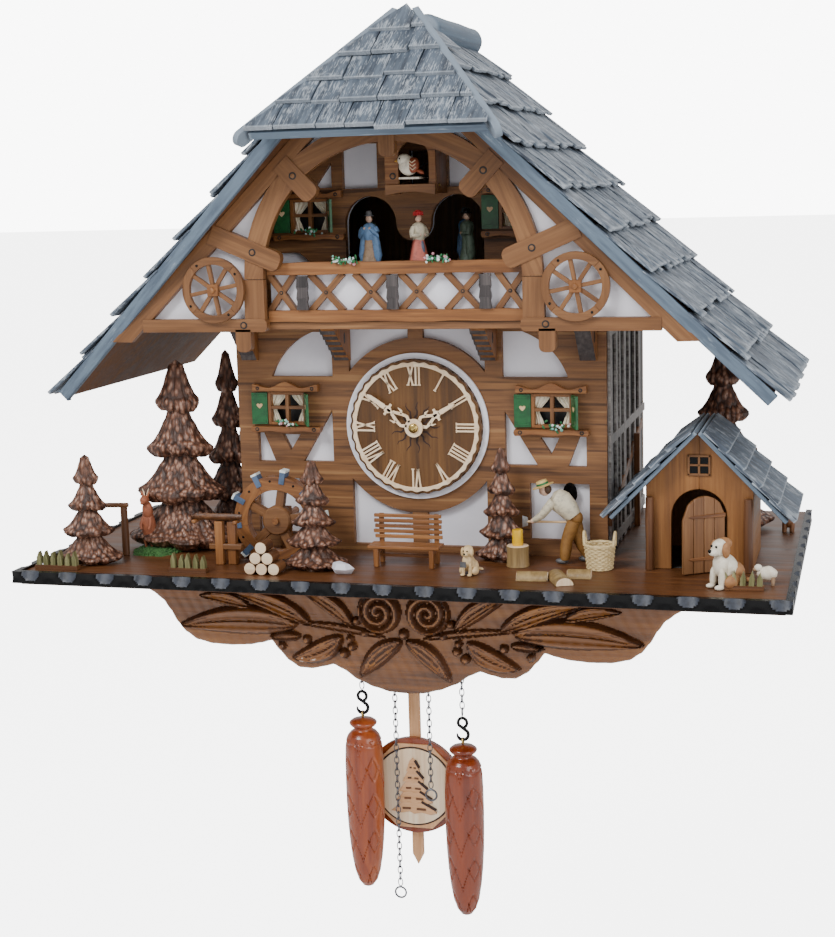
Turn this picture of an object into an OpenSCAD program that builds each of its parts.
// Chalet cuckoo clock: a timber house on a carved platform, with a dial, dancers, a cuckoo,
// a mill wheel, a wood chopper, a pendulum and two cone weights.
// Frame: X to the right, Y to the wall, Z up. Y = 0 is the wall, Z = 0 the top of the platform.

/* [Platform] */
// Width of the platform over its edging
deck_w = 450; // [400:1:560]
// Depth of the platform from the wall to its front edge
deck_d = 247; // [235:1:300]
// Thickness of the platform board
deck_t = 7; // [5:0.5:12]
// Width of the carved edging
edging_w = 4; // [3:0.5:6]
// Distance between the gouge cuts of the edging
gouge_pitch = 24; // [18:1:32]
// Half width of the carved apron
apron_half_w = 168; // [140:1:190]
// Thickness of the carved apron
apron_t = 10; // [6:0.5:14]
// Depth of the apron's front face from the wall
apron_y = 200; // [196:1:206]

/* [House] */
// Half width of the house over its side walls
wall_x = 114; // [105:1:125]
// Depth of the facade's front face from the wall
facade_y = 154; // [145:1:156]
// Thickness of the facade's timber layer
timber_t = 4; // [3:0.5:5]
// Thickness of the white panels behind the timber
panel_t = 3; // [2:0.5:4]
// Thickness of the side walls
side_t = 5; // [4:0.5:8]
// Thickness of the back board
back_t = 4; // [3:0.5:6]
// Radius of the hole that the clock hangs by
hanger_r = 4; // [3:0.5:6]
// Height of the upper floor
floor_z = 139; // [132:1:146]

/* [Gable] */
// Depth of the truss's front face from the wall
truss_y = 203; // [200:1:206]
// Thickness of the truss timbers
truss_t = 5; // [3:0.5:6]
// Inner radius of the round arch
arch_r = 75.7; // [70:0.1:80]
// Width of the arch timber
arch_w = 11.6; // [9:0.1:14]
// Height of the arch's centre
arch_z = 168; // [164:1:172]
// Radius of the cart wheels
cart_r = 19; // [15:0.5:22]

/* [Roof] */
// Pitch of the main roof in degrees
roof_pitch = 44.4; // [42:0.1:47]
// Height of the roof boards' underside at the ridge
ridge_z = 302; // [296:1:312]
// Half span of the roof boards' underside at the eaves
eave_x = 207.6; // [195:0.1:215]
// Depth of the verge from the wall, at the eaves
verge_eave_y = 195.6; // [190:0.1:200]
// Depth of the verge from the wall, at the ridge
verge_ridge_y = 231.4; // [225:0.1:240]
// Thickness of the roof boards
board_t = 5; // [4:0.5:6]
// Number of shingle courses on each main slope
courses = 9; // [7:1:11]
// Height that a shingle's butt stands above the boards
butt_h = 5.6; // [4:0.1:7]

/* [Dial] */
// Height of the dial's centre
dial_z = 77; // [74:1:80]
// Outer radius of the white dial ring
dial_r = 44; // [36:0.5:46]
// Radius of the timber ring around the dial
surround_r = 53; // [50:0.5:56]
// Radius of the movement's threaded bush
bush_r = 4; // [3:0.1:5]
// Angle of the minute hand from twelve, clockwise
minute_angle = 305; // [0:1:359]
// Angle of the hour hand from twelve, clockwise
hour_angle = 60; // [0:1:359]

/* [Carousel] */
// Radius of the ring that the dancers stand on
dance_r = 33; // [30:0.5:34]
// Radius of the turning disc
disc_r = 36; // [33:0.5:37]
// Distance of the turning axis from the wall
carousel_y = 141; // [138:1:143]
// Height of a dancer
dancer_h = 34; // [28:1:36]

/* [Mill wheel] */
// Outer radius of the mill wheel's rim
mill_r = 27; // [22:0.5:28]
// Height of the mill wheel's axle
mill_z = 23; // [20:0.5:26]
// Radius of the mill wheel's axle
axle_r = 2; // [1.5:0.1:3]

/* [Pendulum and weights] */
// Sideways place of the pendulum
pend_x = -4.5; // [-6:0.5:4]
// Distance from the pendulum's pivot to its bob
pend_len = 130; // [115:1:145]
// Radius of the pendulum bob
bob_r = 29; // [24:0.5:32]
// Radius of the weight cones at their widest
cone_r = 11.8; // [9:0.1:13]
// Length of a weight cone with its cap
cone_len = 108; // [90:1:120]
// Radius of the pull rings
ring_r = 3.9; // [3:0.1:5]

/* [Shed] */
// Half width of the shed's front wall
shed_half_w = 30; // [27:0.5:32]
// Depth of the shed's front wall from the wall plane
shed_y = 177; // [172:1:180]
// Length of the shed from front to back
shed_len = 62; // [50:1:70]

/* [Hidden] */
$fn = 48;

gap = 0.3;           // clearance between pieces that only stand close together
run_fit = 0.05;      // radial clearance of a shaft in its bore
wall_gap = 1;        // how far everything but the back board stays off the wall
timber = "#8a5a2c";
dark_timber = "#5d3818";
light_timber = "#b27a3a";
slate = "#8796a6";
plaster = "#e6e6ea";
green = "#1d7a3c";
cream = "#e9d3b0";
brass = "#c9a44a";
iron = "#26262a";

panel_y = facade_y - timber_t;          // front face of the white panels
inner_y = panel_y - panel_t;            // back face of the facade
upper_y = facade_y - 4;                 // front face of the upper wall
a = roof_pitch;
slope = tan(a);
slope_len = eave_x / cos(a);
shingle_over = 9.5;                     // how far the last course overhangs the boards
course_len = (slope_len + shingle_over) / courses;
verge_fall = (verge_ridge_y - verge_eave_y) / eave_x;
barge_t = 4;                            // thickness of the bargeboards
anchor_y = 184;                         // depth of the chains and the weights
anchor_z = -deck_t - 7;                 // height of the pins that they hang from
pend_y = 163;                           // depth of the pendulum rod's middle
weight_x = 31;                          // sideways place of each weight
chain_x = 10.5;                         // sideways place of each pull chain
mill_x = -81;
mill_y = 181;
axle_end = 13;                          // how far the mill wheel's axle goes in behind the facade
shed_x = 169.5;
shed_wall_h = 48;
shed_pitch = 46;
tie_x = 165;                            // where the tie beams meet the rafters
hip_eave_y = 243;
hip_eave_z = 251;
hip_rise = 38.5;
stump_x = 66;
stump_y = 182;
left_rod_l = 66;
right_rod_l = 79;
left_pull_l = 197;
right_pull_l = 133;
hip_half_w = 66;
hip_t = 7;
hip_len = 113;
hip_courses = 4;
chop_x = 97;                            // the chopper's hip, which the torso turns about
chop_y = 169;
chop_z = 25;
hip_pin_r = 1;
hip_r = 1.85;
hip_w = 8;
pin_l = 10.6;
arch_gap_z = 160;                       // floor of the dancers' openings
disc_top = 172;                         // top of the disc that the dancers stand on
disc_t = 2.4;
arbor_shaft_r = 1.8;                    // radius of the dancers' turning shaft

// Height of the roof boards' underside over a place x, and the depth of the verge there
function under_z(x) = ridge_z - abs(x) * slope;
function verge_y(x) = verge_ridge_y - abs(x) * verge_fall;
// Point of the right slope: s down the slope from the ridge, n above the boards' underside
function on_slope(s, n) = [s * cos(a) + n * sin(a), ridge_z - s * sin(a) + n * cos(a)];

// A drawing in X and Z, made into a plate that reaches from depth y back by t
module plate(y, t) {
  translate([0, -y + t, 0])
    rotate([90, 0, 0])
      linear_extrude(t) children();
}

// The same piece on the left and on the right
module both_sides() {
  children();
  mirror([1, 0, 0]) children();
}

module round_end_bar(len, w) {
  translate([0, -w / 2]) square([len - w / 2, w]);
  translate([len - w / 2, 0]) circle(w / 2);
}

// ---------- platform ----------

module mill_slot() {
  slot_half = sqrt(pow(mill_r + 5.5, 2) - mill_z * mill_z) + 1;
  translate([mill_x - slot_half, -mill_y - 7, -deck_t - 1]) cube([2 * slot_half, 14, deck_t + 2]);
}

module base_platform() {
  color(timber)
    difference() {
      translate([-deck_w / 2 + edging_w, -deck_d + edging_w, -deck_t])
        cube([deck_w - 2 * edging_w, deck_d - edging_w - wall_gap, deck_t]);
      mill_slot();
    }
}

module gouge() {
  rotate([45, 0, 0]) translate([0, 0, -8]) cylinder(r = 6.5, h = 16);
}

module platform_edging() {
  front_n = floor(deck_w / gouge_pitch);
  side_n = floor(deck_d / gouge_pitch) - 1;
  color(iron)
    difference() {
      translate([-deck_w / 2, -deck_d, -deck_t]) cube([deck_w, deck_d - wall_gap, deck_t - 0.2]);
      translate([-deck_w / 2 + edging_w, -deck_d + edging_w, -deck_t - 1])
        cube([deck_w - 2 * edging_w, deck_d, deck_t + 2]);
      for (i = [0:front_n - 1])
        translate([(i - (front_n - 1) / 2) * gouge_pitch, -deck_d - 1.6, 1.2]) gouge();
      for (side = [-1, 1])
        for (i = [0:side_n])
          translate([side * (deck_w / 2 + 1.6), -deck_d + (i + 0.8) * gouge_pitch, 1.2])
            rotate([0, 0, side * 90]) gouge();
    }
}

module apron_outline() {
  w = apron_half_w;
  top = -deck_t;
  intersection() {
    translate([-w, -90]) square([2 * w, 90 + top]);
    union() {
      translate([-w + 22, -32]) square([2 * w - 44, 32]);
      for (side = [-1, 1]) {
        polygon([[side * w, top], [side * (w - 26), -40], [side * (w - 60), top]]);
        translate([side * (w - 38), -28]) circle(22);
        translate([side * (w - 62), -22]) circle(24);
        translate([side * 84, -16]) circle(32);
        translate([side * 52, -24]) circle(40);
        translate([side * 30, -30]) circle(36);
      }
      translate([0, -46]) circle(31);
    }
  }
}

module scroll_relief() {
  relief = 3;
  for (side = [-1, 1]) {
    translate([side * 12, 0, -26]) rotate([90, 0, 0]) difference() {
      cylinder(r = 9, h = relief);
      translate([0, 0, -1]) cylinder(r = 4, h = relief + 2);
    }
    for (i = [0:4])
      translate([side * (34 + 24 * i), 0, -30 - 6 * (i % 2)])
        rotate([90, side * (i % 2 == 0 ? 20 : -24), 0])
          linear_extrude(relief) intersection() {
            translate([0, -10]) circle(15);
            translate([0, 10]) circle(15);
          }
  }
}

module apron_carving() {
  color(dark_timber) {
    plate(apron_y - 3, apron_t) apron_outline();
    translate([0, -apron_y + 3, 0]) scroll_relief();
  }
}

module chain_anchors() {
  cleat_back = anchor_y - 13;
  cleat_front = anchor_y - 3;
  color(timber)
    translate([-weight_x - 10, -cleat_front, -deck_t - 12])
      cube([2 * weight_x + 20, cleat_front - cleat_back, 12]);
  color(brass)
    for (x = [-weight_x, -chain_x, chain_x, weight_x])
      translate([x, -cleat_front, anchor_z]) rotate([90, 0, 0]) cylinder(r = 0.8, h = 4.6);
}

// ---------- case ----------

module gable_profile(x, low, clear) {
  polygon([[-x, low], [x, low], [x, under_z(x) - clear], [0, ridge_z - clear],
           [-x, under_z(x) - clear]]);
}

module back_panel() {
  color(timber)
    difference() {
      plate(back_t, back_t) gable_profile(wall_x, 0, gap);
      translate([0, 1, 246]) rotate([90, 0, 0]) cylinder(r = hanger_r, h = back_t + 2);
      for (i = [0:5])
        translate([-60 + 12 * cos(60 * i), 1, 96 + 12 * sin(60 * i)])
          rotate([90, 0, 0]) cylinder(r = 2.5, h = back_t + 2);
    }
}

module side_walls() {
  color(iron)
    both_sides()
      difference() {
        translate([wall_x - side_t, -inner_y + gap, 0])
          cube([side_t, inner_y - back_t - 2 * gap, under_z(wall_x) - gap]);
        translate([0, -inner_y - 1, floor_z])
          cube([2 * wall_x, inner_y + 1 - upper_y + timber_t + panel_t + gap, 200]);
      }
}

module side_timbering() {
  t = 1.6;
  beam = 6;
  front = inner_y - 4;
  back = back_t + 4;
  run = front - back;
  top = under_z(wall_x) - 4;
  color("#aaa69e")
    both_sides() {
      for (z = [0.2, 60, 120, top - beam])
        translate([wall_x, -front, z]) cube([t, run, beam]);
      for (i = [0:4])
        translate([wall_x, -front + i * (run - beam) / 4, 6.4])
          cube([t, beam, top - beam - 6.6]);
    }
}

module window_opening(x, z) {
  translate([x - 12.2, z - 10]) square([24.4, 20]);
}

module lower_cutouts() {
  bay_x = 42;
  post = 4.6;
  for (side = [0, 1])
    mirror([side, 0, 0]) {
      window_opening(82, 87);
      intersection() {
        translate([52.5, 106.5]) square([41, 27]);
        translate([50, 92]) circle(44);
      }
      polygon([[98, 71.8], [102, 71.8], [102, 54], [91, 54]]);
      polygon([[74.5, 71], [86, 71], [81, 61]]);
      polygon([[53.5, 86.5], [53.5, 54.3], [73, 54.3]]);
      translate([68, 9.7]) square([35.5, 34]);
      difference() {
        translate([post, 104]) square([bay_x - post, 31]);
        translate([0, dial_z]) circle(surround_r);
      }
      difference() {
        translate([post, 3.8]) square([bay_x - post, 47]);
        translate([0, dial_z]) circle(surround_r);
      }
    }
}

module facade_panel() {
  color(plaster)
    difference() {
      union() {
        plate(panel_y, panel_t)
          difference() {
            translate([-wall_x, 0]) square([2 * wall_x, floor_z]);
            for (side = [-1, 1]) window_opening(side * 82, 87);
          }
        plate(upper_y - timber_t, panel_t)
          difference() {
            upper_outline();
            dancer_openings();
            for (side = [-1, 1]) window_opening(side * 64, 202.5);
            cuckoo_gap();
          }
      }
      translate([0, -panel_y - 1, dial_z])
        rotate([-90, 0, 0]) cylinder(r = bush_r + gap, h = panel_t + 2);
      translate([mill_x, -panel_y - 1, mill_z])
        rotate([-90, 0, 0]) cylinder(r = axle_r + gap, h = panel_t + 2);
    }
}

module facade_timber() {
  color(timber)
    difference() {
      plate(facade_y, timber_t)
        difference() {
          translate([-wall_x, 0]) square([2 * wall_x, floor_z]);
          lower_cutouts();
        }
      translate([0, -facade_y - 1, dial_z])
        rotate([-90, 0, 0]) cylinder(r = bush_r + gap, h = timber_t + 2);
      translate([mill_x, -facade_y - 1, mill_z])
        rotate([-90, 0, 0]) cylinder(r = axle_r + gap, h = timber_t + 2);
    }
}

module upper_outline() {
  cap_z = 262;
  cap_x = (ridge_z - cap_z - 1) / slope;
  polygon([[-wall_x, floor_z + 4], [wall_x, floor_z + 4], [wall_x, under_z(wall_x) - 1],
           [cap_x, cap_z], [-cap_x, cap_z], [-wall_x, under_z(wall_x) - 1]]);
}

module dancer_openings() {
  r = 15.8;
  x = 26.5;
  z = 197.5;
  tongue_r = x - r;
  difference() {
    union() {
      for (side = [-1, 1]) translate([side * x, z]) circle(r);
      translate([-x - r, arch_gap_z]) square([2 * (x + r), z - arch_gap_z]);
    }
    translate([0, z]) circle(tongue_r);
    translate([-tongue_r, z]) square([2 * tongue_r, r]);
  }
}

// The way through the wall for the cuckoo's arm
module cuckoo_gap() {
  translate([cuckoo_x - 7.5, 219]) square([15, 20]);
}

module upper_wall() {
  color(timber)
    plate(upper_y, timber_t)
      difference() {
        upper_outline();
        dancer_openings();
        for (side = [0, 1])
          mirror([side, 0, 0]) {
            window_opening(64, 202.5);
            translate([21.5, 218]) square([21.5, 26]);
            polygon([[50, 219], [61, 219], [50, 234]]);
            polygon([[60, 171], [86, 171], [86, 181], [72, 181]]);
          }
        cuckoo_gap();
      }
}

module balcony_floor() {
  wing = 150;
  color(timber)
    translate([-wing, -truss_y + truss_t + 2 + gap, floor_z])
      cube([2 * wing, truss_y - truss_t - 2 - gap - upper_y + 3, 4]);
}

// ---------- gable ----------

module arch_opening(r) {
  translate([0, arch_z]) circle(r);
  translate([-r, floor_z - 2]) square([2 * r, arch_z - floor_z + 2]);
}

module gable_panel() {
  low = floor_z;
  top = 264;
  color(plaster)
    plate(truss_y - truss_t, 2)
      difference() {
        polygon([[-(ridge_z - low - 1) / slope, low], [(ridge_z - low - 1) / slope, low],
                 [(ridge_z - top - 1) / slope, top], [-(ridge_z - top - 1) / slope, top]]);
        arch_opening(arch_r + 4);
      }
}

module rafter() {
  depth = 9;
  foot_x = 173;
  s_foot = foot_x / cos(a);
  s_top = 46 / cos(a);
  polygon([on_slope(s_top, -gap), on_slope(s_foot, -gap), on_slope(s_foot - 3, -depth),
           on_slope(s_top + 3, -depth)]);
}

module peg(x, z) {
  translate([x, -truss_y + 0.2, z]) rotate([90, 0, 0]) cylinder(r = 1.9, h = 1.4);
}

module truss_outline() {
  leg_w = 12.4;
  tie_h = 7;
  difference() {
    translate([0, arch_z]) circle(arch_r + arch_w);
    arch_opening(arch_r);
    translate([-200, 0]) square([400, arch_z]);
  }
  for (side = [0, 1])
    mirror([side, 0, 0]) {
      translate([arch_r, floor_z]) square([leg_w, arch_z - floor_z + 1]);
      translate([arch_r - 1, floor_z - 0.5]) square([tie_x - arch_r - 14, tie_h]);
      rafter();
      translate([0, arch_z]) rotate(46.5) translate([62, 0])
        rotate(180) translate([-32, 0]) round_end_bar(32, 12);
      translate([118, 198]) rotate(201) round_end_bar(55, 11);
      translate([arch_r + 13, floor_z + 2]) rotate(-90) round_end_bar(16, 13);
    }
  translate([0, arch_z + arch_r + arch_w]) rotate(-90) round_end_bar(20, 9.2);
}

module gable_truss() {
  color(light_timber)
    plate(truss_y, truss_t) intersection() {
      gable_profile(tie_x + 10, 100, gap);
      truss_outline();
    }
  color(dark_timber) {
    peg(0, 249);
    for (side = [-1, 1]) {
      peg(side * 55, 226);
      peg(side * 81.5, 183.5);
      peg(side * 88.5, 142);
    }
  }
}

module lattice_cross(x, half_w, z0, z1) {
  w = 3.4;
  h = z1 - z0;
  angle = atan2(h, 2 * half_w);
  len = sqrt(h * h + 4 * half_w * half_w);
  intersection() {
    translate([x - half_w, z0 - 0.4]) square([2 * half_w, h + 0.8]);
    for (dir = [-1, 1])
      translate([x, (z0 + z1) / 2]) rotate(dir * angle) translate([-len / 2 - 2, -w / 2])
        square([len + 4, w]);
  }
}

module balcony_rails() {
  rail_x = arch_r - 0.2;
  rail_y = 196;
  bottom = 143.3;
  top = 170;
  rail_h = 7;
  color(timber) {
    plate(rail_y, 4) {
      translate([-rail_x, bottom]) square([2 * rail_x, rail_h]);
      translate([-rail_x, top]) square([2 * rail_x, rail_h]);
      for (x = [-67.5, -40.3, -13.5, 13.5, 40.3, 67.5])
        lattice_cross(x, x * x > 3600 ? 7.5 : 9.6, bottom + rail_h, top);
    }
  }
  color(plaster)
    plate(rail_y - 4, 1.5)
      translate([-rail_x, bottom]) square([2 * rail_x, top + rail_h - bottom]);
}

module balcony_brackets() {
  post_w = 6;
  pitch = 53.8;
  bracket_w = 9;
  color("#77736c")
    for (x = [-pitch, 0, pitch])
      translate([x - post_w / 2, -198.4, 150.6]) cube([post_w, 2.2, 19]);
  color(timber)
    for (x = [-104, -45, 45, 104])
      translate([x - bracket_w / 2, 0, 0])
        rotate([90, 0, 90]) linear_extrude(bracket_w)
          polygon([[-facade_y, 117], [-facade_y - 6, 117], [-facade_y - 14, 124],
                   [-facade_y - 22, 131], [-facade_y - 34, floor_z], [-facade_y, floor_z]]);
}

module cart_wheels() {
  t = 3.5;
  hub = 3.2;
  spokes = 8;
  color(timber)
    for (side = [-1, 1])
      translate([side * 105.7, -truss_y - 0.1, 162.6]) rotate([90, 0, 0])
        linear_extrude(t) {
          difference() {
            circle(cart_r);
            circle(cart_r - 4.2);
          }
          for (i = [0:spokes - 1])
            rotate(360 / spokes * i) translate([0, -1.1]) square([cart_r - 3, 2.2]);
          square(2 * hub, center = true);
        }
}

// ---------- roof ----------

module hip_frame() {
  translate([0, -hip_eave_y, hip_eave_z]) rotate([hip_rise, 0, 0]) children();
}

// All that lies above the underside of the hip
module above_hip() {
  hip_frame() translate([-300, -80, -hip_t - gap]) cube([600, 420, 240]);
}

// The plan of the right half of the roof, its front edge set back from the verge
module verge_plan(set_back, back) {
  far_x = eave_x + 30;
  linear_extrude(400)
    polygon([[0, -verge_ridge_y + set_back], [far_x, -verge_y(far_x) + set_back],
             [far_x, -back], [0, -back]]);
}

module slope_layer(set_back, back) {
  difference() {
    intersection() {
      plate(260, 260) children();
      verge_plan(set_back, back);
    }
    above_hip();
  }
}

module board_section() {
  polygon([on_slope(0, 0), on_slope(slope_len, 0), on_slope(slope_len, board_t),
           [0, ridge_z + board_t / cos(a)]]);
}

module roof_boards() {
  color(timber)
    both_sides() slope_layer(barge_t, wall_gap) board_section();
}

module bargeboards() {
  color(slate)
    both_sides()
      difference() {
        slope_layer(0, wall_gap) board_section();
        verge_plan(barge_t, -1);
      }
}

module shingle_section() {
  thin = 1.4;
  steps = [for (i = [courses:-1:1]) each [on_slope(i * course_len, board_t + butt_h),
           on_slope((i - 1) * course_len + 0.01, board_t + thin)]];
  polygon(concat([on_slope(board_t * slope + 2, board_t), on_slope(slope_len + shingle_over, board_t)],
                 [for (p = steps) if (p[0] > 5) p]));
}

module main_shingles() {
  slope_layer(-3, wall_gap)
    difference() {
      shingle_section();
      translate([-50, 0]) square([50.2, 400]);
    }
}

module shingles_right() {
  color(slate) main_shingles();
}

module shingles_left() {
  color(slate) mirror([1, 0, 0]) main_shingles();
}

module hip_triangle(grow) {
  polygon([[-hip_half_w - grow, 0], [hip_half_w + grow, 0], [0, hip_len]]);
}

module hip_roof() {
  step = hip_len / hip_courses;
  color(slate)
    hip_frame()
      intersection() {
        translate([0, 0, -hip_t]) linear_extrude(hip_t + 6) hip_triangle(0);
        rotate([90, 0, 90]) translate([0, 0, -hip_half_w - 10])
          linear_extrude(2 * hip_half_w + 20)
            polygon(concat([[0, -hip_t]],
                           [for (i = [0:hip_courses - 1]) each [[i * step, 1.5],
                                                                [(i + 1) * step, -2.5]]],
                           [[hip_len, -hip_t]]));
      }
}

module ridge_log() {
  r = 9;
  log_z = ridge_z + 9;
  front = 112;
  color(slate)
    difference() {
      translate([0, -wall_gap, log_z]) rotate([90, 0, 0]) cylinder(r = r, h = front - wall_gap);
      plate(260, 260) {
        n = board_t + butt_h + gap;
        polygon([[0, ridge_z + n / cos(a)], on_slope(60, n), [40, 200], [-40, 200],
                 [-on_slope(60, n)[0], on_slope(60, n)[1]]]);
      }
    }
}

// ---------- dial ----------

dial_rim = 3.4;      // width of the white ring that shows around the dial plate
dial_t = 5;

module dial_axis() {
  translate([0, 0, dial_z]) rotate([90, 0, 0]) children();
}

module dial_plate() {
  color(timber)
    dial_axis() translate([0, 0, facade_y])
      difference() {
        cylinder(r = dial_r - dial_rim, h = dial_t);
        translate([0, 0, -1]) cylinder(r = bush_r + gap, h = dial_t + 2);
      }
}

module dial_ring() {
  color(plaster)
    dial_axis() translate([0, 0, facade_y])
      linear_extrude(1.6)
        difference() {
          circle(dial_r);
          circle(dial_r - dial_rim + 0.05);
        }
}

module numeral_strokes(n) {
  // strokes of a numeral, each [shift of its inner end, shift of its outer end]
  glyphs = [[[0, 0]], [[-1.3, -1.3], [1.3, 1.3]], [[-2.3, -2.3], [0, 0], [2.3, 2.3]],
            [[-3.4, -3.4], [-1.2, -1.2], [1, 1], [3.2, 3.2]], [[0, -2], [0, 2]],
            [[-2.6, -2.6], [1.6, -0.4], [1.6, 3.6]], [[-3.6, -3.6], [-1.6, -1.6], [1.8, 0], [1.8, 3.8]],
            [[-4.4, -4.4], [-2.6, -2.6], [-0.8, -0.8], [2.6, 0.8], [2.6, 4.4]],
            [[-2.6, -2.6], [3, -0.2], [-0.2, 3]], [[2, -2], [-2, 2]],
            [[-3.2, 0.2], [0.2, -3.2], [2.8, 2.8]], [[-4, -0.4], [-0.4, -4], [2, 2], [4, 4]]];
  r0 = 25;
  r1 = 36;
  half = 0.6;
  for (g = glyphs[n - 1])
    polygon([[g[0] - half, r0], [g[0] + half, r0], [g[1] + half, r1], [g[1] - half, r1]]);
}

module dial_numerals() {
  color(cream)
    dial_axis() translate([0, 0, facade_y + dial_t])
      linear_extrude(0.8) {
        for (n = [1:12]) rotate(-30 * n) numeral_strokes(n);
        difference() {
          circle(38.4);
          circle(35.6);
        }
      }
}

module hand_blade(len, w) {
  polygon([[-w / 2, 0], [-w * 0.9, len * 0.3], [-w * 0.25, len * 0.55], [-w * 0.3, len * 0.97],
           [0, len], [w * 0.3, len * 0.97], [w * 0.25, len * 0.55], [w * 0.9, len * 0.3], [w / 2, 0]]);
  circle(5.4);
}

hour_front = facade_y + 7.2;
minute_front = facade_y + 9.2;
collar_r = bush_r - 1.5;
arbor_r = 1;

module hour_hand() {
  color(cream)
    dial_axis()
      difference() {
        union() {
          translate([0, 0, hour_front - 1]) rotate(-hour_angle) linear_extrude(1) hand_blade(27, 4);
          translate([0, 0, facade_y - 4]) cylinder(r = collar_r, h = hour_front - facade_y + 3.5);
        }
        translate([0, 0, facade_y - 6]) cylinder(r = arbor_r + run_fit, h = 20);
      }
}

module minute_hand() {
  color(cream)
    dial_axis() {
      translate([0, 0, minute_front - 1]) rotate(-minute_angle) linear_extrude(1) hand_blade(35, 3.4);
      translate([0, 0, facade_y - 6]) cylinder(r = arbor_r, h = minute_front - facade_y + 6);
      translate([0, 0, minute_front]) cylinder(r = 3, h = 2.6);
    }
}

// ---------- windows ----------

window_x = 82;
window_z = 87;
upper_window_x = 64;
upper_window_z = 202.5;

module window_frame(x, z, y) {
  w = 24.4;
  h = 20;
  bar = 2;
  plate(y + 1.2, 4)
    translate([x, z])
      difference() {
        square([w - 0.2, h - 0.2], center = true);
        for (sx = [-1, 1])
          for (sz = [-1, 1])
            translate([sx * (w + bar - 2) / 4, sz * (h + bar - 2) / 4])
              square([w / 2 - bar, h / 2 - bar], center = true);
      }
  plate(y + 5, 5)
    translate([x - 21, z - h / 2 - 3]) {
      translate([3, -2.3]) square([36, 4.6]);
      translate([3, 0]) circle(2.3);
      translate([39, 0]) circle(2.3);
    }
  plate(y + 3, 3)
    translate([x, z + h / 2 + 3])
      intersection() {
        translate([-20, -2.4]) square([40, 7]);
        union() {
          translate([-20, -2.4]) square([40, 4]);
          translate([0, -6]) circle(10);
          for (s = [-1, 1]) translate([s * 17, 0]) circle(3);
        }
      }
}

module window_frames() {
  color(timber)
    for (side = [-1, 1]) {
      window_frame(side * window_x, window_z, facade_y);
      window_frame(side * upper_window_x, upper_window_z, upper_y);
    }
}

module shutter() {
  difference() {
    cube([9.6, 1.6, 19]);
    translate([4.8, -1, 13]) rotate([-90, 0, 0]) cylinder(r = 1.6, h = 4);
  }
}

module shutter_pair(x, z, y) {
  out = 12.6;
  translate([x - out - 9.6, -y - 2.2, z - 9.5]) shutter();
  translate([x + out, -y - 1.1, z - 9.5]) rotate([0, 0, -62]) shutter();
}

module window_shutters() {
  color(green)
    for (side = [-1, 1]) {
      shutter_pair(side * window_x, window_z, facade_y);
      shutter_pair(side * upper_window_x, upper_window_z, upper_y);
    }
}

module window_curtains() {
  color(cream)
    for (side = [-1, 1]) {
      translate([side * window_x - 13, -inner_y + gap, window_z - 11]) cube([26, 1.2, 22]);
      translate([side * upper_window_x - 13, -inner_y + 4 + gap, upper_window_z - 11])
        cube([26, 1.2, 22]);
    }
}

module flower_clusters() {
  posy_r = 2.8;
  posy_t = 4.4;
  posy_pitch = 4;
  color("#4fae7b")
    for (p = [[-82, facade_y + 4.8, 79.8], [86, facade_y + 4.8, 79.8], [-64, upper_y + 4.8, 195.3],
              [66, upper_y + 4.8, 195.3], [-27, 199, 179.6], [27, 199, 179.6]])
      for (i = [-1:1])
        translate([p[0] + posy_pitch * i, -p[1], p[2]]) rotate([90, 0, 0])
          cylinder(r = posy_r, h = posy_t, center = true, $fn = 24);
}

// ---------- dancers and cuckoo ----------

module carousel() {
  hub_h = 8;
  color(dark_timber)
    translate([0, -carousel_y, 0])
      difference() {
        union() {
          translate([0, 0, disc_top - disc_t]) cylinder(r = disc_r, h = disc_t);
          translate([0, 0, disc_top - hub_h - 1]) cylinder(r = 6, h = hub_h);
        }
        translate([0, 0, disc_top - hub_h - 2])
          cylinder(r = arbor_shaft_r + run_fit, h = hub_h);
      }
}

module dancer(h, skirt) {
  rotate_extrude($fn = 24)
    polygon([[0, 0], [3, 0], [3, 1.4], [skirt, 1.6], [2.5, h * 0.52], [3.6, h * 0.62],
             [3.4, h * 0.74], [1.3, h * 0.78], [1.3, h * 0.8], [2.4, h * 0.85], [2.4, h * 0.91],
             [3.4, h * 0.92], [2.1, h * 0.96], [0, h]]);
}

module dancers() {
  couples = 6;
  phase = 16;
  color("#7c8fa8")
    translate([0, -carousel_y, disc_top])
      for (i = [0:couples - 1])
        rotate([0, 0, phase + 360 / couples * i - 90]) translate([dance_r, 0, 0])
          dancer(dancer_h, i % 2 == 0 ? 4.4 : 3.4);
}

cuckoo_x = 6;
cuckoo_front = 176;

module cuckoo_housing() {
  half_w = 15;
  low = 213.5;
  high = 247;
  t = 2.2;
  deep = cuckoo_front - upper_y - gap;
  color(timber)
    difference() {
      translate([cuckoo_x - half_w, -cuckoo_front, low]) cube([2 * half_w, deep, high - low]);
      translate([cuckoo_x - half_w + t, -cuckoo_front + t, low + t + 3])
        cube([2 * half_w - 2 * t, deep, high - low - 2 * t - 3]);
      translate([cuckoo_x + 2 - 9, -cuckoo_front - 1, 219.6]) cube([18, 5, 16]);
      translate([cuckoo_x + 2, -cuckoo_front - 1, 235.2]) rotate([-90, 0, 0]) cylinder(r = 9, h = 5);
    }
}

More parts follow.
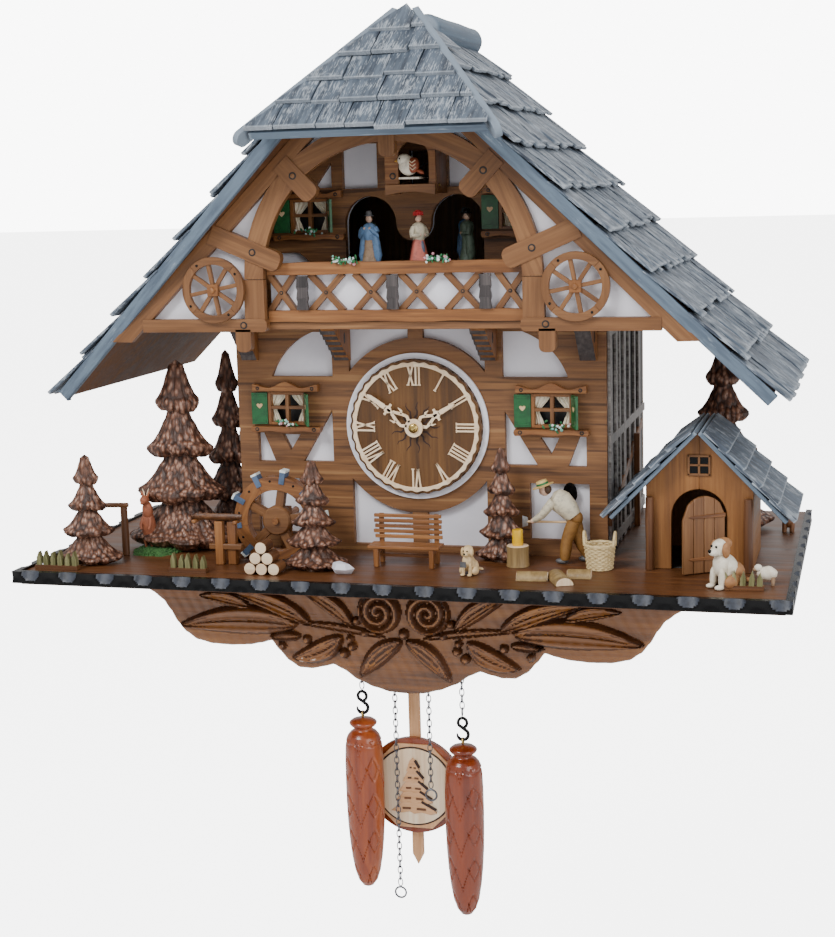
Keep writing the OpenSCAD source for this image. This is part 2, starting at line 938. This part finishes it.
module cuckoo_bird() {
  z = 224;
  x = cuckoo_x;
  color(cream) {
    translate([x - 6, -cuckoo_front - 4, z - 1.4]) cube([12, 14, 1.2]);
    translate([x - 1.6, -cuckoo_front + 9, z - 1.4]) cube([3.2, 34, 1.2]);
    translate([x - 0.6, -cuckoo_front + 1, z]) {
      translate([0, 0, 4.6]) sphere(4.6, $fn = 28);
      translate([-2, -1, 9.6]) sphere(3.6, $fn = 28);
      translate([3, 3, 5]) sphere(3.4, $fn = 28);
    }
  }
}

// ---------- yard ----------

module water_wheel() {
  w = 7;
  hub = 6.4;
  spokes = 6;
  paddles = 10;
  color(light_timber)
    translate([mill_x, -mill_y, mill_z]) rotate([90, 0, 0]) {
      translate([0, 0, -w / 2]) {
        linear_extrude(w)
          difference() {
            circle(mill_r);
            circle(mill_r - 10);
          }
        linear_extrude(w) circle(hub);
        translate([0, 0, 1]) linear_extrude(w - 2)
          for (i = [0:spokes - 1])
            rotate(30 + 360 / spokes * i) translate([hub - 1, -1.6]) square([mill_r - hub - 8, 3.2]);
        for (i = [0:paddles - 1])
          rotate([0, 0, 36 * i]) translate([mill_r - 1, -1, 0.4]) cube([5, 2, w - 0.8]);
      }
      translate([0, 0, -mill_y + inner_y - axle_end])
        cylinder(r = axle_r, h = mill_y - inner_y + axle_end + 6);
    }
}

module water_trough() {
  color(light_timber) {
    // flume beside the wheel, its post and its sill
    translate([-126, -209, 26])
      difference() {
        cube([30, 9, 6]);
        translate([2, 1.6, 1.6]) cube([26, 5.8, 6]);
      }
    translate([-112, -207.5, 0]) cube([5, 6, 25.8]);
    translate([-126, -206.5, 9]) cube([13.8, 4, 4]);
    translate([-105, -206.5, 0]) cube([6, 5, 25.8]);
    translate([mill_x - 4, -mill_y + 11, 0])
      difference() {
        cube([8, 4, mill_z + 6]);
        translate([4, -1, mill_z]) rotate([-90, 0, 0]) cylinder(r = axle_r + run_fit, h = 6);
      }
  }
}

module tree(h, r, tiers) {
  step = (h - 8) / tiers;
  outline = [for (i = [0:tiers - 1]) each [[r * (1 - i / tiers) * 0.98 + 1, 8 + i * step],
             [r * (1 - i / tiers) * 0.5 + 0.6, 8 + (i + 0.92) * step]]];
  rotate_extrude($fn = 32)
    polygon(concat([[0, 0], [2.6, 0], [2.6, 8.2]], outline, [[0, h]]));
}

module fir_trees() {
  // places that the branches leave free, each [x, y, radius]
  clearings = [[stump_x, -stump_y, 7.4], [-169, -176, 9], [43, -206, 11]];
  color("#6b4630")
    difference() {
      union() {
        translate([-152, -160, 0]) tree(117, 26, 6);
        translate([-132, -128, 0]) tree(120, 14, 6);
        translate([-191, -212, 0]) tree(66, 17, 5);
        translate([-50, -206, 0]) tree(64, 16, 5);
        translate([54, -169, 0]) tree(67, 13, 5);
        translate([172, -58, 0]) tree(116, 27, 6);
      }
      for (c = clearings) translate([c[0], c[1], -1]) cylinder(r = c[2], h = 42);
      translate([mill_x - 40, -mill_y - 6, -1]) cube([80, 12, 60]);
    }
}

module tuft(n) {
  for (i = [0:n - 1])
    translate([i * 4.6, 0, 0]) rotate([90, 0, 0]) linear_extrude(2)
      polygon([[-1.9, 0], [1.9, 0], [1.8, 7], [0, 11], [-1.8, 7]]);
}

module grass_tufts() {
  color("#7d8a52") {
    translate([-203, -231, 0]) tuft(6);
    translate([-121, -226, 0]) tuft(5);
    translate([197, -219, 0]) tuft(5);
    translate([-163, -176, 0]) cylinder(r = 16, h = 2.4);
    translate([-29, -214, 2.6]) sphere(2.6, $fn = 20);
    translate([-213, -230, 2.6]) sphere(2.6, $fn = 20);
  }
}

module garden_bench() {
  w = 43;
  color(light_timber)
    translate([1.5, -192, 0]) {
      translate([-w / 2, -8, 11]) cube([w, 6, 2]);
      translate([-w / 2, -1, 11]) cube([w, 6, 2]);
      for (z = [18, 25]) translate([-w / 2, 7.2, z]) cube([w, 1.8, 5]);
      for (x = [-15, 12]) {
        translate([x, -6, 0]) cube([3, 12, 11]);
        translate([x, 5.2, 13.01]) cube([3, 2, 17]);
      }
    }
}

module log_pile() {
  r = 3.6;
  len = 12;
  color(cream)
    for (row = [0:2])
      for (i = [0:2 - row])
        translate([-75 + (i - (2 - row) / 2) * (2 * r + 0.2), -216, r + row * 6.4])
          rotate([90, 0, 0]) cylinder(r = r, h = len);
}

module sitting_dog(s) {
  scale(s) {
    translate([0, 3, 6]) sphere(6, $fn = 24);
    translate([-1, -2, 9]) sphere(5, $fn = 24);
    translate([-3, -4, 16]) sphere(4.4, $fn = 24);
    translate([-7.4, -5, 15]) sphere(2.2, $fn = 24);
    for (y = [-5, -1]) translate([-3.4, y, 0]) cylinder(r = 1.7, h = 9, $fn = 24);
  }
}

module yard_animals() {
  color("#b06a48") {
    // the deer
    translate([-169, -176, 2.5]) {
      for (x = [-3.4, 3.4]) translate([x, 0, 0]) cylinder(r = 2, h = 14);
      translate([0, 0, 10]) cylinder(r = 5.2, h = 17);
      translate([0, -1, 30]) sphere(4.6, $fn = 24);
      for (x = [-3, 3]) translate([x, 0, 33]) cylinder(r = 1.2, h = 4);
    }
    translate([43, -208, 0]) sitting_dog(1.05);
    translate([187, -215, 0]) sitting_dog(1.5);
    // the sheep and the bear
    translate([209, -206, 0]) {
      translate([0, 0, 6]) sphere(4, $fn = 24);
      for (x = [-2, 2]) translate([x, 0, 0]) cylinder(r = 1, h = 5);
    }
    translate([213, -66, 0]) {
      translate([0, 0, 6]) sphere(6, $fn = 24);
      translate([-1, -5, 12]) sphere(4.4, $fn = 24);
    }
  }
}

module log_basket() {
  t = 1.2;
  color(cream)
    translate([114, -183, 0]) {
      rotate_extrude($fn = 40)
        polygon([[0, 0], [7, 0], [8.6, 15], [8.6 - t, 15], [7 - t, t], [0, t]]);
      translate([0, 1, 15]) rotate([90, 0, 0])
        linear_extrude(2)
          difference() {
            circle(8.5);
            circle(7.3);
            translate([-10, -20]) square(20);
            translate([-10, -20]) square([20, 20.05]);
          }
    }
}

module chopping_block() {
  stump_r = 6.6;
  stump_h = 12;
  color(light_timber) {
    translate([stump_x, -stump_y, 0]) {
      cylinder(r = stump_r, h = stump_h);
      translate([0, 0, stump_h + 0.01]) cylinder(r = 3, h = 9.4);
    }
    translate([78, -216, 3]) rotate([0, 90, 20]) cylinder(r = 3, h = 14);
    translate([96, -222, 3.4]) rotate([0, 90, 65]) cylinder(r = 3.4, h = 17);
    translate([104, -205, 3]) rotate([0, 90, 10]) cylinder(r = 3, h = 9);
  }
}

module limb(p, q, r0, r1) {
  hull() {
    translate(p) sphere(r0, $fn = 20);
    translate(q) sphere(r1, $fn = 20);
  }
}

module chopper_legs() {
  color("#6d4a2c")
    translate([chop_x, -chop_y, 0]) {
      limb([-1, -2.6, chop_z - 4.5], [-6, -3, 12], 2.6, 2.1);
      limb([-6, -3, 12], [-5, -3, 3], 2.1, 1.7);
      limb([-1, 2.6, chop_z - 4.5], [3, 3, 12], 2.6, 2.1);
      limb([3, 3, 12], [6, 3, 3], 2.1, 1.7);
      translate([0, 0, chop_z]) rotate([90, 0, 0]) cylinder(r = hip_pin_r, h = pin_l, center = true);
      for (side = [-1, 1])
        translate([-1.2, side * (pin_l / 2 - 0.5) - 0.5, chop_z - 5]) cube([2.4, 1, 6]);
      translate([-10, -4.6, 0]) cube([8, 3.4, 2.6]);
      translate([2, 1.4, 0]) cube([8, 3.4, 2.6]);
    }
}

module chopper_torso() {
  color(cream)
    translate([chop_x, -chop_y, chop_z])
      difference() {
        union() {
          limb([0, 0, 3.2], [-12, 0, 13], 4.4, 5);
          translate([-18, 0, 18]) sphere(4, $fn = 24);
          translate([-19, 0, 21.4]) cylinder(r = 6, h = 1.6);
          limb([-12, -4, 12], [-17, -4.4, 2], 2.4, 2);
          limb([-17, -4.4, 2], [-24, -2, -1], 2, 1.6);
          limb([-12, 4, 12], [-17, 4.4, 2], 2.4, 2);
          limb([-17, 4.4, 2], [-24, 2, -1], 2, 1.6);
          translate([-29, -0.8, -2]) cube([26, 1.6, 1.6]);
          rotate([90, 0, 0]) cylinder(r = hip_r, h = hip_w, center = true);
        }
        rotate([90, 0, 0]) cylinder(r = hip_pin_r + run_fit, h = 4 * hip_w, center = true);
      }
}

// ---------- shed ----------

module shed_gable(half_w, low) {
  rise = tan(shed_pitch);
  polygon([[shed_x - half_w, low], [shed_x + half_w, low], [shed_x + half_w, shed_wall_h],
           [shed_x, shed_wall_h + half_w * rise], [shed_x - half_w, shed_wall_h]]);
}

module shed_walls() {
  t = 2.6;
  door_half = 15.5;
  color(light_timber)
    difference() {
      plate(shed_y, shed_len) shed_gable(shed_half_w, 0);
      plate(shed_y - t, shed_len - 2 * t)
        difference() {
          translate([0, -1.5]) shed_gable(shed_half_w - t, -3);
        }
      plate(shed_y + 1, t + 2) {
        translate([shed_x - door_half, -1]) square([2 * door_half, 32]);
        translate([shed_x, 31]) circle(door_half);
        for (sx = [-1, 1])
          for (sz = [-1, 1])
            translate([shed_x + sx * 3.4, 60 + sz * 3.2]) square([5, 4.8], center = true);
      }
    }
}

module shed_roof() {
  rise = tan(shed_pitch);
  half = 52;
  board = 2.4;
  base_z = shed_wall_h + shed_half_w * rise + gap;
  n = 3;
  step = half / n;
  lift = board / cos(shed_pitch);
  color(slate)
    plate(shed_y + 11, shed_len + 16)
      for (side = [0, 1])
        translate([shed_x, 0]) mirror([side, 0, 0])
          polygon(concat([[0, base_z], [half, base_z - half * rise], [half + 1.6, base_z - half * rise + 1.6]],
                         [for (i = [n:-1:1]) each [[i * step, base_z - i * step * rise + lift + 5],
                          [(i - 1) * step + 0.1, base_z - (i - 1) * step * rise + lift + (i == 1 ? 3 : 1)]]],
                         [[0, base_z + lift + 3]]));
}

module shed_door() {
  w = 26;
  h = 44;
  ajar = 33;
  color(light_timber)
    translate([shed_x + 15, -shed_y - 2.4, 0.3]) rotate([0, 0, ajar])
      translate([-w, -2, 0])
        rotate([90, 0, 0]) translate([0, 0, -2]) linear_extrude(2) {
          square([w, h - w / 2]);
          translate([w / 2, h - w / 2]) circle(w / 2);
        }
}

module porch_timbers() {
  color(timber) {
    // bark posts beside the shed's front
    for (side = [-1, 1])
      translate([shed_x + side * 27.4, -shed_y - 2.9, 0]) cylinder(r = 2.5, h = 42);
    // railing behind the small trees
    for (x = [-205, -178]) translate([x, -190, 0]) cylinder(r = 2.2, h = 30);
    translate([-206, -191.2, 30.1]) cube([32, 3, 2.4]);
    // strut and pole beside the house
    translate([wall_x + 4, -60, 0]) cylinder(r = 2, h = 60);
  }
}

// ---------- pendulum, weights and chains ----------

module pendulum_rod() {
  w = 7.2;
  t = 2.6;
  tail = 50;
  top = 5;
  color(cream)
    translate([pend_x, 0, anchor_z])
      difference() {
        plate(pend_y + t / 2, t)
          polygon([[-w / 2, top], [w / 2, top], [w / 2, -pend_len - tail], [0, -pend_len - tail - 3],
                   [-w / 2, -pend_len - tail]]);
        translate([0, -pend_y - t, 0]) rotate([-90, 0, 0]) cylinder(r = 1 + run_fit, h = 2 * t);
      }
}

module pendulum_bob() {
  t = 5.5;
  color(timber)
    translate([pend_x, -pend_y - 1.3, anchor_z - pend_len])
      rotate([90, 22.5, 0]) cylinder(r = bob_r, h = t, $fn = 8);
}

module hanging_chain(len) {
  difference() {
    union() {
      translate([0, 0.7, 0]) rotate([90, 0, 0]) cylinder(r = 2.2, h = 1.4);
      translate([0, 0, -len]) cylinder(r = 1, h = len - 1.6, $fn = 16);
    }
    translate([0, 2, 0]) rotate([90, 0, 0]) cylinder(r = 0.8 + run_fit, h = 4);
  }
}

module cone_weight(chain_len) {
  hook = 17;
  cap = 13;
  r = cone_r;
  body = cone_len - cap;
  hanging_chain(chain_len);
  translate([0, 0, -chain_len - hook / 2])
    rotate([90, 0, 0]) translate([0, 0, -1])
      linear_extrude(2)
        difference() {
          union() {
            translate([0, 3.8]) circle(4.4);
            translate([0, -3.8]) circle(4.4);
          }
          translate([0.6, 3.8]) circle(2.4);
          translate([-0.6, -3.8]) circle(2.4);
        }
  translate([0, 0, -chain_len - hook])
    rotate_extrude($fn = 40)
      polygon([[0, 1.5], [1.4, 0.6], [1.4, -3], [7, -4], [8.6, -6], [8.6, -9], [7.4, -cap],
               [8.4, -cap - 1], [r, -cap - body * 0.3], [r, -cap - body * 0.45],
               [r * 0.82, -cap - body * 0.8], [r * 0.4, -cap - body * 0.97], [0, -cap - body]]);
}

module weight_left() {
  color("#8a4a2c") translate([-weight_x, -anchor_y, anchor_z]) cone_weight(left_rod_l);
}

module weight_right() {
  color("#8a4a2c") translate([weight_x, -anchor_y, anchor_z]) cone_weight(right_rod_l);
}

module pull_chain(len) {
  hanging_chain(len);
  translate([0, 0, -len - ring_r]) rotate([90, 0, 0])
    rotate_extrude() translate([ring_r, 0]) circle(0.7, $fn = 16);
}

module chain_left() {
  color("#8d8f94") translate([-chain_x, -anchor_y, anchor_z]) pull_chain(left_pull_l);
}

module chain_right() {
  color("#8d8f94") translate([chain_x, -anchor_y, anchor_z]) pull_chain(right_pull_l);
}

// ---------- works inside the case ----------

module quartz_movement() {
  box = 56;
  deep = 18;
  color(iron)
    dial_axis()
      difference() {
        union() {
          translate([-box / 2, -box / 2, inner_y - deep - gap]) cube([box, box, deep]);
          translate([0, 0, inner_y - gap - 1]) cylinder(r = bush_r, h = facade_y - inner_y + 6.2 + gap);
        }
        translate([0, 0, facade_y - 12]) cylinder(r = collar_r + run_fit, h = 30);
      }
}

module battery_pack() {
  cell_r = 7;
  cell_len = 50;
  color("#3b5b8c")
    for (x = [0, 16])
      translate([30 + x, -back_t - 12, 30]) cylinder(r = cell_r, h = cell_len);
  color(iron)
    translate([21, -back_t - 21, 26]) cube([34, 18, 3.8]);
}

module sound_box() {
  color(iron)
    translate([-60, -back_t - gap, 96]) rotate([90, 0, 0]) {
      cylinder(r = 24, h = 5);
      translate([0, 0, 5]) cylinder(r = 14, h = 14);
    }
}

module drive_motors() {
  color("#b9bcc2") {
    // motor and arbor under the dancers' disc
    translate([-12, -carousel_y - 4, 112]) cube([24, 30, 20]);
    translate([0, -carousel_y, 131.9]) cylinder(r = arbor_shaft_r, h = disc_top - 3.5 - 131.9);
    // motor behind the mill wheel's axle
    translate([mill_x, -inner_y + 8, mill_z]) rotate([-90, 0, 0])
      difference() {
        cylinder(r = 10, h = 18);
        translate([0, 0, -1]) cylinder(r = axle_r + run_fit, h = 8);
      }
    // pendulum drive under the platform, with the pin that the rod hangs on
    translate([pend_x - 14, -pend_y + 3.4, -deck_t - 22]) cube([28, 16, 22]);
    translate([pend_x, -pend_y + 4, anchor_z]) rotate([90, 0, 0]) cylinder(r = 1, h = 7);
  }
}

base_platform();
platform_edging();
apron_carving();
chain_anchors();
back_panel();
side_walls();
side_timbering();
facade_panel();
facade_timber();
upper_wall();
balcony_floor();
gable_panel();
gable_truss();
balcony_rails();
balcony_brackets();
cart_wheels();
roof_boards();
bargeboards();
shingles_left();
shingles_right();
hip_roof();
ridge_log();
dial_plate();
dial_ring();
dial_numerals();
hour_hand();
minute_hand();
window_frames();
window_shutters();
window_curtains();
flower_clusters();
carousel();
dancers();
cuckoo_housing();
cuckoo_bird();
water_wheel();
water_trough();
fir_trees();
grass_tufts();
garden_bench();
log_pile();
yard_animals();
log_basket();
chopping_block();
chopper_legs();
chopper_torso();
shed_walls();
shed_roof();
shed_door();
porch_timbers();
pendulum_rod();
pendulum_bob();
weight_left();
weight_right();
chain_left();
chain_right();
quartz_movement();
battery_pack();
sound_box();
drive_motors();
